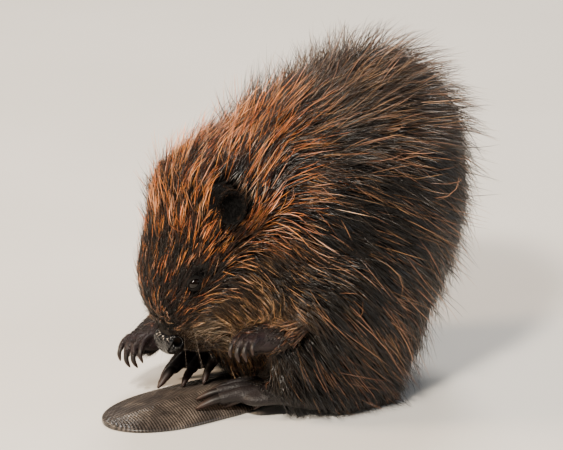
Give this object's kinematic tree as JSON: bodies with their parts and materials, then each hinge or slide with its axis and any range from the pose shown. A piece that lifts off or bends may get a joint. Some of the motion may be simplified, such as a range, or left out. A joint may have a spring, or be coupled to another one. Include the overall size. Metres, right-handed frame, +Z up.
{
  "type": "beaver",
  "caption": "Life-size still model of a North American beaver, hunched on its haunches with curled forepaws and its flat scaly tail tucked forward under its webbed hind feet.",
  "frame": {"origin": "middle of the footprint, on the floor", "axes": "+Z up; the beaver heads along -Y, so its rump is towards +Y and its left side is +X"},
  "size_m": [0.2556, 0.3841, 0.3093],
  "materials": {
    "dark_coat": "dark brown wet fur with sparse reddish guard hairs",
    "bright_coat": "rusty orange wet guard hairs over dark underfur",
    "nose": "black pebbled skin, moist",
    "ear": "black skin with very short hair",
    "bare_feet": "dark purplish brown wrinkled skin, damp",
    "tail_scales": "grey brown scales in curved rows, satin",
    "claw": "dark horn with paler tips, semi-gloss",
    "eye": "black brown, wet gloss"
  },
  "bodies": {
    "root": {"head": "bright_coat", "nose": "nose", "ear_left": "ear", "ear_right": "ear", "eye_left": "eye", "eye_right": "eye", "neck": "bright_coat", "trunk": "dark_coat", "foreleg_left": "dark_coat", "foreleg_right": "dark_coat", "forepaw_left": "bare_feet", "forepaw_right": "bare_feet", "fore_claw_left_1": "claw", "fore_claw_left_2": "claw", "fore_claw_left_3": "claw", "fore_claw_left_4": "claw", "fore_claw_right_1": "claw", "fore_claw_right_2": "claw", "fore_claw_right_3": "claw", "fore_claw_right_4": "claw", "haunch_left": "dark_coat", "haunch_right": "dark_coat", "hind_claw_left_1": "claw", "hind_claw_left_2": "claw", "hind_claw_left_3": "claw", "hind_claw_left_4": "claw", "hind_claw_left_5": "claw", "hind_claw_right_1": "claw", "hind_claw_right_2": "claw", "hind_claw_right_3": "claw", "hind_claw_right_4": "claw", "hind_claw_right_5": "claw", "hind_foot_left": "bare_feet", "hind_foot_right": "bare_feet", "tail": "tail_scales"}
  },
  "joints": []
}
